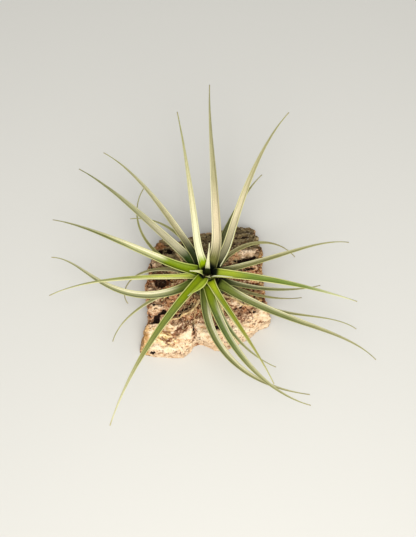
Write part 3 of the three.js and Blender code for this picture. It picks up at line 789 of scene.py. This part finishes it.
def leaf_stations(leaf, spacing):
    """Points along the middle of a leaf, each with the axes and the channel of its section."""
    radius = sheath_radius(leaf)
    sheath_half = sheath_half_angle(leaf)
    azimuth = math.radians(leaf.azimuth)
    stem_height = STEM_HEIGHT * (1 - (radius - RIB_THICKNESS / 2) / STEM_RADIUS)
    foot = STEM_BASE + stem_height + SHEATH_CLEARANCE
    top = SHEATH_TOP - SHEATH_TOP_STEP * leaf.tier
    top_half = min(sheath_half, math.degrees(SHEATH_TOP_WIDTH * leaf.width / (2 * radius)))
    place = Vector((radius * math.cos(azimuth), radius * math.sin(azimuth), top))
    stations = []
    rings = max(SHEATH_RINGS_MIN, round((top - foot) / spacing))
    for i in range(rings):
        raised = i / rings
        half = lerp(sheath_half, top_half, raised)
        level = Vector((place.x, place.y, lerp(foot, top, raised)))
        width = 2 * radius * math.radians(half)
        stations.append(Station(level, math.pi / 2, azimuth, half, width, (raised - 1) * (top - foot)))
    bent = min(BEND_LENGTH, leaf.length / 2)
    stops = max(BLADE_RINGS_MIN, round(leaf.length / spacing))
    travelled = 0.0
    for stop in (leaf.length * i / stops for i in range(stops + 1)):
        steps = math.ceil((stop - travelled) / PATH_STEP)
        step = (stop - travelled) / max(steps, 1)
        for _ in range(steps):
            place = place + step * forward_way(*blade_direction(leaf, travelled + step / 2))
            travelled += step
        travelled = stop
        t = stop / leaf.length
        opened = smoothstep(stop, 0, bent)
        slim = 1 - TIP_SLIMMING * smoothstep(t, SLIMMING_START, SLIMMING_END)
        taper = max(leaf.width * slim * (1 - t) ** TAPER_POWER, TIP_WIDTH)
        half = lerp(top_half, CHANNEL_HALF_ANGLE, opened)
        width = lerp(2 * radius * math.radians(top_half), taper * CHANNEL_ARC, opened)
        slope, heading = blade_direction(leaf, stop)
        stations.append(Station(place, slope, heading, half, width, stop))
    return stations


def leaf_point(leaf, station, across, side, wave):
    """A point on a leaf: side is -1 on its upper, hollow face and 1 on its underside."""
    left = left_way(station.heading)
    face = forward_way(station.slope, station.heading).cross(left)
    half = math.radians(station.half)
    channel = station.width / (2 * half)
    along = clamp(station.distance / leaf.length)
    thick = lerp(RIB_THICKNESS, MARGIN_THICKNESS, across * across)
    thick = lerp(thick, TIP_THICKNESS, along ** 3)
    reach = channel + side * thick / 2
    ripple = noise.noise(Vector((station.distance / MARGIN_WAVE_LENGTH, across * 1.5, leaf.azimuth)))
    lift = ripple * wave * smoothstep(station.distance, MARGIN_WAVE_START, MARGIN_WAVE_FULL) * abs(across)
    angle = across * half
    depth = channel - reach * math.cos(angle) + lift
    return station.place + left * (reach * math.sin(angle)) + face * depth


def leaf_mesh(leaf, settings):
    """A grid bent into the leaf's upper face, then extruded to its underside."""
    stations = leaf_stations(leaf, settings.ring_spacing / MM)
    rows = len(stations) - 1
    bm = bmesh.new()
    along = bm.verts.layers.float.new("along")
    across = bm.verts.layers.float.new("across")
    underside = bm.verts.layers.float.new("underside")
    frost = bm.verts.layers.float.new("frost")
    cup = bm.verts.layers.float.new("cup")
    grain = bm.verts.layers.float_vector.new("grain")
    row_of = bm.verts.layers.float.new("row")
    bmesh.ops.create_grid(bm, x_segments=settings.across, y_segments=rows, size=1)
    for vert in bm.verts:
        row = round((vert.co.y + 1) / 2 * rows)
        station = stations[row]
        vert[row_of] = row
        vert[across] = vert.co.x
        # Painted light on one side of the channel and painted shade on the other.
        vert[frost] = vert.co.x * leaf.frost
        vert[along] = station.distance / leaf.length
        vert[grain] = Vector((vert.co.x * station.width / 2, station.distance, leaf.azimuth))
    grown = bmesh.ops.extrude_face_region(bm, geom=bm.faces[:])["geom"]
    for item in grown:
        if isinstance(item, bmesh.types.BMVert):
            item[underside] = 1.0
    for vert in bm.verts:
        station = stations[round(vert[row_of])]
        side = 2 * vert[underside] - 1
        point = leaf_point(leaf, station, vert[across], side, settings.wave / MM)
        # Painted shade of the heart, strongest near the plant's axis, on the upper face only.
        from_axis = math.hypot(point.x, point.y)
        darkened = 1 - smoothstep(from_axis, CUP_EDGE * leaf.cup, leaf.cup)
        vert[cup] = darkened * (1 - vert[underside])
        vert.co = MM * point
    bm.verts.layers.float.remove(row_of)
    bmesh.ops.recalc_face_normals(bm, faces=bm.faces[:])
    return bm


def fold_mesh(leaf, fold, settings):
    """A strip bent to lie over the leaf's upper face, then extruded to its own thickness."""
    stations = [
        station for station in leaf_stations(leaf, settings.ring_spacing / MM)
        if fold.start <= station.distance <= fold.end]
    rows = len(stations) - 1
    bm = bmesh.new()
    along = bm.verts.layers.float.new("along")
    across = bm.verts.layers.float.new("across")
    grain = bm.verts.layers.float_vector.new("grain")
    bmesh.ops.create_grid(bm, x_segments=FOLD_FACES_ACROSS, y_segments=rows, size=1)
    for vert in bm.verts:
        row = round((vert.co.y + 1) / 2 * rows)
        station = stations[row]
        inward = (vert.co.x + 1) / 2
        far = row / rows
        outer = 1 - FOLD_DRAW_IN * fold.reach * far ** FOLD_DRAW_IN_POWER
        inner = outer - (FOLD_WIDTH * fold.reach * (1 - far ** 2) + FOLD_TIP_WIDTH)
        outer += fold.flare * math.sin(math.pi * far)
        place = lerp(outer, inner, inward)
        past = max(place - 1, 0) * fold.side * station.width / 2
        shift = left_way(station.heading) * past
        shift.z = FOLD_CLEARANCE + FOLD_LIFT * inward * (1 - far)
        vert[along] = lerp(FOLD_FINISH_START, FOLD_FINISH_END, far)
        vert[across] = 1 - inward
        vert[grain] = Vector((place * station.width / 2, station.distance, leaf.azimuth))
        vert.co = MM * (leaf_point(leaf, station, fold.side * min(place, 1), -1, 0) + shift)
    grown = bmesh.ops.extrude_face_region(bm, geom=bm.faces[:])["geom"]
    for item in grown:
        if isinstance(item, bmesh.types.BMVert):
            item.co.z += FOLD_THICKNESS * MM
    bmesh.ops.recalc_face_normals(bm, faces=bm.faces[:])
    return bm


# Stem, roots and fibres

def ground_under(surface, x, y):
    """Height of the bark's top at a place, in millimetres."""
    above = Vector((x * MM, y * MM, RAY_HEIGHT * MM))
    hit = surface.ray_cast(above, Vector((0, 0, -1)))[0]
    return hit.z / MM if hit else None


def root_path(surface, azimuth, length, curl, wander, start, lift):
    """Points of a root that creeps over the bark, up to where the bark ends."""
    place = Vector((start * math.cos(math.radians(azimuth)), start * math.sin(math.radians(azimuth))))
    count = round(length / ROOT_STEP)
    steps = []
    for i in range(count + 1):
        t = i / count
        steps.append(place.copy())
        heading = math.radians(azimuth + curl * t + wander * math.sin(t * ROOT_WANDER_RATE))
        place += ROOT_STEP * Vector((math.cos(heading), math.sin(heading)))
    heights = []
    places = []
    for i in range(count + 1):
        reach = min(i, count - i, ROOT_SMOOTHING)
        near = steps[i - reach:i + reach + 1]
        flat = sum(near, Vector((0, 0))) / len(near)
        ground = ground_under(surface, flat.x, flat.y)
        if ground is None or ground < ROOT_GROUND_MIN:
            break
        heights.append(ground)
        places.append(flat)
    path = []
    for i, flat in enumerate(places):
        near = heights[max(i - ROOT_LEVELLING, 0):i + ROOT_LEVELLING + 1]
        height = max(heights[i], sum(near) / len(near)) + lift
        path.append(MM * Vector((flat.x, flat.y, height)))
    return path


def roots_mesh(surface, settings):
    bm = bmesh.new()
    radius = settings.root_radius
    for root in ROOTS:
        path = root_path(surface, *root, ROOT_START_RADIUS, radius / MM * ROOT_RIDE)
        radii = []
        for i in range(len(path)):
            knots = 1 + ROOT_KNOTS * noise.noise(Vector((root.azimuth, i * 0.7, 0)))
            radii.append(radius * knots * (1 - ROOT_TAPER * i / (len(path) - 1)))
        tube(bm, path, radii, ROOT_SIDES)
    bmesh.ops.recalc_face_normals(bm, faces=bm.faces[:])
    return bm


def fibres_mesh(surface, settings):
    rng = random.Random(FIBRE_SEED)
    bm = bmesh.new()
    for _ in range(settings.fibres):
        azimuth = rng.choice((*FIBRE_MAIN_WAYS, rng.uniform(0, 360))) + rng.gauss(0, FIBRE_WAY_SPREAD)
        length = rng.uniform(*FIBRE_LENGTHS)
        curl = rng.uniform(*FIBRE_CURLS)
        wander = rng.uniform(*FIBRE_WANDERS)
        start = rng.uniform(*FIBRE_STARTS)
        path = root_path(surface, azimuth, length, curl, wander, start, settings.fibre_radius / MM)
        if len(path) < FIBRE_POINTS_MIN:
            continue
        radii = [settings.fibre_radius * (1 - FIBRE_TAPER * i / len(path)) for i in range(len(path))]
        tube(bm, path, radii, FIBRE_SIDES)
    bmesh.ops.recalc_face_normals(bm, faces=bm.faces[:])
    return bm


def stem_mesh():
    """The low cone that the sheaths stand on, spun from its profile and roughened."""
    bm = bmesh.new()
    profile = [(0, 0), (STEM_RADIUS, 0)]
    for i in range(1, STEM_RINGS):
        radius = STEM_RADIUS * (1 - i / STEM_RINGS)
        profile.append((radius, STEM_HEIGHT * (1 - radius / STEM_RADIUS)))
    profile.append((0, STEM_HEIGHT * (STEM_RINGS - 1) / STEM_RINGS + STEM_CAP_RISE))
    verts = [bm.verts.new(MM * Vector((r, 0, STEM_BASE + z))) for r, z in profile]
    edges = [bm.edges.new(pair) for pair in zip(verts, verts[1:])]
    bmesh.ops.spin(
        bm, geom=verts + edges, cent=(0, 0, 0), axis=(0, 0, 1), angle=2 * math.pi,
        steps=STEM_SIDES, use_merge=True)
    bmesh.ops.remove_doubles(bm, verts=bm.verts[:], dist=0.01 * MM)
    for vert in bm.verts:
        if vert.co.z > (STEM_BASE + STEM_EVEN_FOOT) * MM:
            rough = noise.noise(vert.co / MM * STEM_ROUGHNESS_RATE) * STEM_ROUGHNESS
            vert.co.x *= 1 + rough / STEM_RADIUS
            vert.co.y *= 1 + rough / STEM_RADIUS
    bmesh.ops.recalc_face_normals(bm, faces=bm.faces[:])
    return bm


# Bark. A divisor inside a noise is the size of its features in millimetres. A number that is added
# or stands alone there only picks another stretch of the noise.

def remeshed(node, voxel):
    """A bmesh of a node's solid in even faces of about one voxel."""
    bm = bmesh.new()
    bm.from_mesh(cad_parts[node].data)
    bmesh.ops.remove_doubles(bm, verts=bm.verts[:], dist=0.001 * MM)
    mesh = bpy.data.meshes.new("rough_block")
    bm.to_mesh(mesh)
    block = bpy.data.objects.new("rough_block", mesh)
    bpy.context.scene.collection.objects.link(block)
    remesh = block.modifiers.new("even_faces", "REMESH")
    remesh.mode = "VOXEL"
    remesh.voxel_size = voxel
    evaluated = block.evaluated_get(bpy.context.evaluated_depsgraph_get())
    bm.clear()
    bm.from_mesh(evaluated.to_mesh())
    bpy.data.objects.remove(block)
    bpy.data.meshes.remove(mesh)
    return bm


def inside_marks(marks, x, y):
    """How far a place lies inside the marks, from 0 to 1, and their amount there."""
    share = 0.0
    amount = 0.0
    for mark in marks:
        turn = math.radians(mark.turn)
        dx = x - mark.x
        dy = y - mark.y
        forward = (dx * math.cos(turn) + dy * math.sin(turn)) / mark.along
        sideways = (dy * math.cos(turn) - dx * math.sin(turn)) / mark.across
        distance = math.hypot(forward, sideways)
        if distance < MARK_REACH:
            ragged = 1 + MARK_RAGGEDNESS * noise.noise(Vector((x * 0.5, y * 0.7, mark.x)))
            inside = 1 - smoothstep(distance / ragged, *MARK_EDGE)
            share = max(share, inside)
            amount = max(amount, mark.amount * inside)
    return share, amount


def bark_zones(x, y):
    """How much of a place is worn to cream at the front, and how much is weathered at the back."""
    ragged = 6 * noise.noise(Vector((x / 13, y / 13, 2.0))) + 3 * noise.noise(Vector((x / 4, y / 4, 5.0)))
    worn = 1 - smoothstep(y + ragged - BARE_FRONT_SLANT * max(x, 0), *BARE_FRONT)
    outer = smoothstep(y + ragged - WEATHERED_BACK_SLANT * x, *WEATHERED_BACK)
    return worn, outer


def sawn_share(spot, up):
    """How much of a place lies on a sawn edge: the left front corner or the slab's right side."""
    rough = 3 * noise.noise(spot / 3)
    left_corner = smoothstep(0.5 * rough - spot.x, 40.5, 44) * (1 - smoothstep(spot.y + rough, -30, -24))
    right_rim = smoothstep(spot.x + rough, 37, 40) * smoothstep(spot.y, -4, 2)
    right_rim *= 1 - smoothstep(spot.y, 26, 32)
    return max(left_corner, right_rim * (1 - up)) * 0.85


def terraces(value, step_height):
    """A slope turned into flat steps with steep, crumbled edges between them."""
    level = math.floor(value)
    return step_height * (level + smoothstep(value - level, 0.72, 1.0))


def bark_relief(spot, worn, outer):
    """Height of the plates and flakes at a point, and how deep it lies in a crack, from 0 to 1."""
    x, y, z = spot
    drift = noise.noise_vector(spot / 5) * 2.4 + noise.noise_vector(spot / 1.9) * 0.8
    bent = spot + drift
    broad = noise.fractal(Vector((bent.x / 19, bent.y / 8, z / 7)), 1.0, 2.0, 3)
    plates = terraces(PLATE_LEVELS * broad, PLATE_STEP)
    small = noise.noise(Vector((bent.x / 5.5, bent.y / 2.6, bent.z / 2.4)))
    flakes = terraces(FLAKE_LEVELS * small, FLAKE_STEP)
    strata = noise.noise(Vector((x / 18, bent.y / 1.7, bent.z / 1.3)))
    crumbs = noise.fractal(spot / 1.5, 0.8, 2.0, 3)
    line = abs(noise.noise(Vector((bent.x / 12, bent.y / 5.5, bent.z / 5 + 3))))
    open_here = smoothstep(noise.noise(Vector((x / 11, y / 9, 6.0))), -0.15, 0.15)
    crack = (1 - smoothstep(line, *CRACK_WIDTHS)) * open_here
    pits = smoothstep(noise.noise(Vector((bent.x / 2.8, bent.y / 1.9, z / 2 + 9))), 0.38, 0.6)
    pits *= lerp(*PIT_BACK_FADE, outer)
    flakes *= lerp(*FLAKE_FADE, worn) * lerp(*FLAKE_BACK_FADE, outer)
    rise = plates * lerp(*PLATE_FADE, worn) + flakes
    rise += strata * lerp(*STRATA_BACK_FADE, outer) + crumbs * lerp(*CRUMB_BACK_FADE, outer)
    sunk = crack * lerp(*CRACK_DEPTHS, worn) + pits * lerp(*PIT_DEPTHS, worn)
    hollow = max(crack * lerp(*CRACK_FADE, worn), pits * lerp(*PIT_FADE, worn))
    return rise - sunk, hollow


def bark_mesh(settings):
    """The slab with its relief cut in, and what its finish needs to know about each place."""
    bm = remeshed("cork_bark", settings.voxel)
    bm.normal_update()
    noise.seed_set(BARK_SEED)
    names = ("hollow", "height", "worn", "outer", "sawn", "rust", "stain", "ochre")
    layers = {name: bm.verts.layers.float.new(name) for name in names}
    shifts = []
    for vert in bm.verts:
        spot = vert.co / MM
        x, y, z = spot
        up = smoothstep(vert.normal.z, 0.3, 0.7)
        worn, outer = bark_zones(x, y)
        bare_share, bare = inside_marks(BARE_CORK, x, y)
        outer *= 1 - bare_share
        seat = 1 - smoothstep(math.hypot(x, y), SEAT_RADIUS - SEAT_OVERLAP, SEAT_RADIUS + SEAT_BLEND)
        relief, hollow = bark_relief(spot, worn, outer)
        cavity_share, cavity = inside_marks(CAVITIES, x, y)
        lump = inside_marks(LUMPS, x, y)[1]
        level = relief * settings.relief * (1 - SEAT_SMOOTHING * seat) - SEAT_DEPTH * seat
        level += (lump - cavity) * up
        shift = lerp(relief * SIDE_RELIEF, level, up) * smoothstep(z, RELIEF_START, RELIEF_FULL)
        if vert.normal.z < -0.5 or z < 0.3:
            shift = 0
        shifts.append(vert.normal * shift * MM)
        cavity_share *= smoothstep(cavity, 0, CAVITY_FULL)
        values = {
            "hollow": clamp(hollow * (1 - seat * 0.5) + cavity_share),
            "height": clamp(relief * 0.25 + 0.5),
            "worn": max(worn * lerp(0.8, 1, up), bare * up),
            "outer": outer * lerp(0.5, 1, up),
            "sawn": sawn_share(spot, up),
            "rust": inside_marks(LUMPS[:1], x, y)[0],
            "stain": inside_marks(STAINS, x, y)[1] * up,
            "ochre": inside_marks(OCHRES, x, y)[1] * up,
        }
        for name, value in values.items():
            vert[layers[name]] = value
    for vert, shift in zip(bm.verts, shifts):
        vert.co += shift
    return bm


# Operators

class AIRPLANT_OT_bark(bpy.types.Operator):
    """Makes the slab of cork bark"""

    bl_idname = "airplant.bark"
    bl_label = "Cork bark"

    def execute(self, context):
        settings = context.scene.airplant_bark
        bm = bark_mesh(settings)
        if not bm.faces:
            raise RuntimeError("the bark came out empty")
        add_piece("bark_slab", bm, bark_material("cork", settings), "cork_bark")
        return {"FINISHED"}


class AIRPLANT_OT_roots(bpy.types.Operator):
    """Makes the stem, the roots and the fine fibres over the bark"""

    bl_idname = "airplant.roots"
    bl_label = "Stem and roots"

    def execute(self, context):
        settings = context.scene.airplant_roots
        slab = bpy.data.objects.get("bark_slab")
        if slab is None:
            raise RuntimeError("make the bark first: the roots lie on it")
        surface = BVHTree.FromObject(slab, context.evaluated_depsgraph_get())
        node = "stem_and_roots"
        husk = root_material("stem_husk", tuple(settings.husk), colour(58, 40, 22), 700.0)
        dry = root_material("dry_root", tuple(settings.tan), colour(146, 108, 62), 900.0)
        add_piece("stem", stem_mesh(), husk, node)
        add_piece("roots", roots_mesh(surface, settings), dry, node)
        add_piece("root_fibres", fibres_mesh(surface, settings), dry, node)
        return {"FINISHED"}


class AIRPLANT_OT_leaves(bpy.types.Operator):
    """Makes every leaf of the rosette"""

    bl_idname = "airplant.leaves"
    bl_label = "Leaves"

    def execute(self, context):
        settings = context.scene.airplant_leaves
        finishes = {name: leaf_material(f"leaf_{name}", look, settings) for name, look in LOOKS.items()}
        for number, leaf in enumerate(LEAVES, start=1):
            node = f"leaf_{number:02d}"
            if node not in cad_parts:
                raise RuntimeError(f"the packed model has no {node}")
            add_piece(f"leaf_blade_{number:02d}", leaf_mesh(leaf, settings), finishes[leaf.look], node)
        for fold in FOLDS:
            node = f"leaf_{fold.number:02d}"
            bm = fold_mesh(LEAVES[fold.number - 1], fold, settings)
            add_piece(f"leaf_fold_{fold.number:02d}", bm, finishes[fold.look], node)
        return {"FINISHED"}


class AIRPLANT_OT_stage(bpy.types.Operator):
    """Makes the floor, the lights and the camera"""

    bl_idname = "airplant.stage"
    bl_label = "Stage"

    def execute(self, context):
        settings = context.scene.airplant_stage
        bm = bmesh.new()
        bmesh.ops.create_grid(bm, x_segments=1, y_segments=1, size=FLOOR_REACH)
        mesh = bpy.data.meshes.new("floor")
        bm.to_mesh(mesh)
        bm.free()
        mesh.materials.append(floor_material(tuple(settings.floor)))
        floor = bpy.data.objects.new("floor", mesh)
        context.scene.collection.objects.link(floor)
        for lamp in LAMPS:
            self.add_light(context, lamp)
        world = bpy.data.worlds.new("soft_room")
        world.use_nodes = True
        background = world.node_tree.nodes["Background"]
        background.inputs["Color"].default_value = ROOM_TINT
        background.inputs["Strength"].default_value = ROOM_STRENGTH
        context.scene.world = world
        context.scene.view_settings.view_transform = "Standard"
        self.add_camera(context, settings)
        return {"FINISHED"}

    def add_light(self, context, lamp):
        data = bpy.data.lights.new(lamp.name, "AREA")
        data.size = lamp.size
        data.energy = lamp.power
        data.color = lamp.tint
        light = bpy.data.objects.new(lamp.name, data)
        light.location = lamp.place
        light.rotation_euler = (-Vector(lamp.place)).to_track_quat("-Z", "Y").to_euler()
        context.scene.collection.objects.link(light)

    def add_camera(self, context, settings):
        data = bpy.data.cameras.new("camera")
        data.lens = settings.lens
        data.sensor_width = SENSOR_WIDTH
        camera = bpy.data.objects.new("camera", data)
        elevation = settings.camera_elevation
        back = Vector((0, -math.cos(elevation), math.sin(elevation)))
        camera.location = CAMERA_AIM + back * settings.camera_distance
        camera.rotation_euler = (math.pi / 2 - elevation, 0, 0)
        context.scene.collection.objects.link(camera)
        context.scene.camera = camera


class AIRPLANT_PT_panel(bpy.types.Panel):
    """Lists the steps that make the plant"""

    bl_idname = "AIRPLANT_PT_panel"
    bl_label = "Air plant"
    bl_space_type = "VIEW_3D"
    bl_region_type = "UI"
    bl_category = "Air plant"

    def draw(self, context):
        for step in STEPS:
            self.layout.operator(step.bl_idname)


SETTINGS = {
    "airplant_leaves": LeafSettings,
    "airplant_bark": BarkSettings,
    "airplant_roots": RootSettings,
    "airplant_stage": StageSettings,
}
STEPS = [AIRPLANT_OT_bark, AIRPLANT_OT_roots, AIRPLANT_OT_leaves, AIRPLANT_OT_stage]


def register():
    for kind in [*SETTINGS.values(), *STEPS, AIRPLANT_PT_panel]:
        bpy.utils.register_class(kind)
    for name, kind in SETTINGS.items():
        setattr(bpy.types.Scene, name, PointerProperty(type=kind))


def unregister():
    for name in SETTINGS:
        delattr(bpy.types.Scene, name)
    for kind in reversed([*SETTINGS.values(), *STEPS, AIRPLANT_PT_panel]):
        bpy.utils.unregister_class(kind)


def main():
    register()
    bpy.ops.airplant.bark()
    bpy.ops.airplant.roots()
    bpy.ops.airplant.leaves()
    bpy.ops.airplant.stage()


if __name__ == "__main__":
    main()
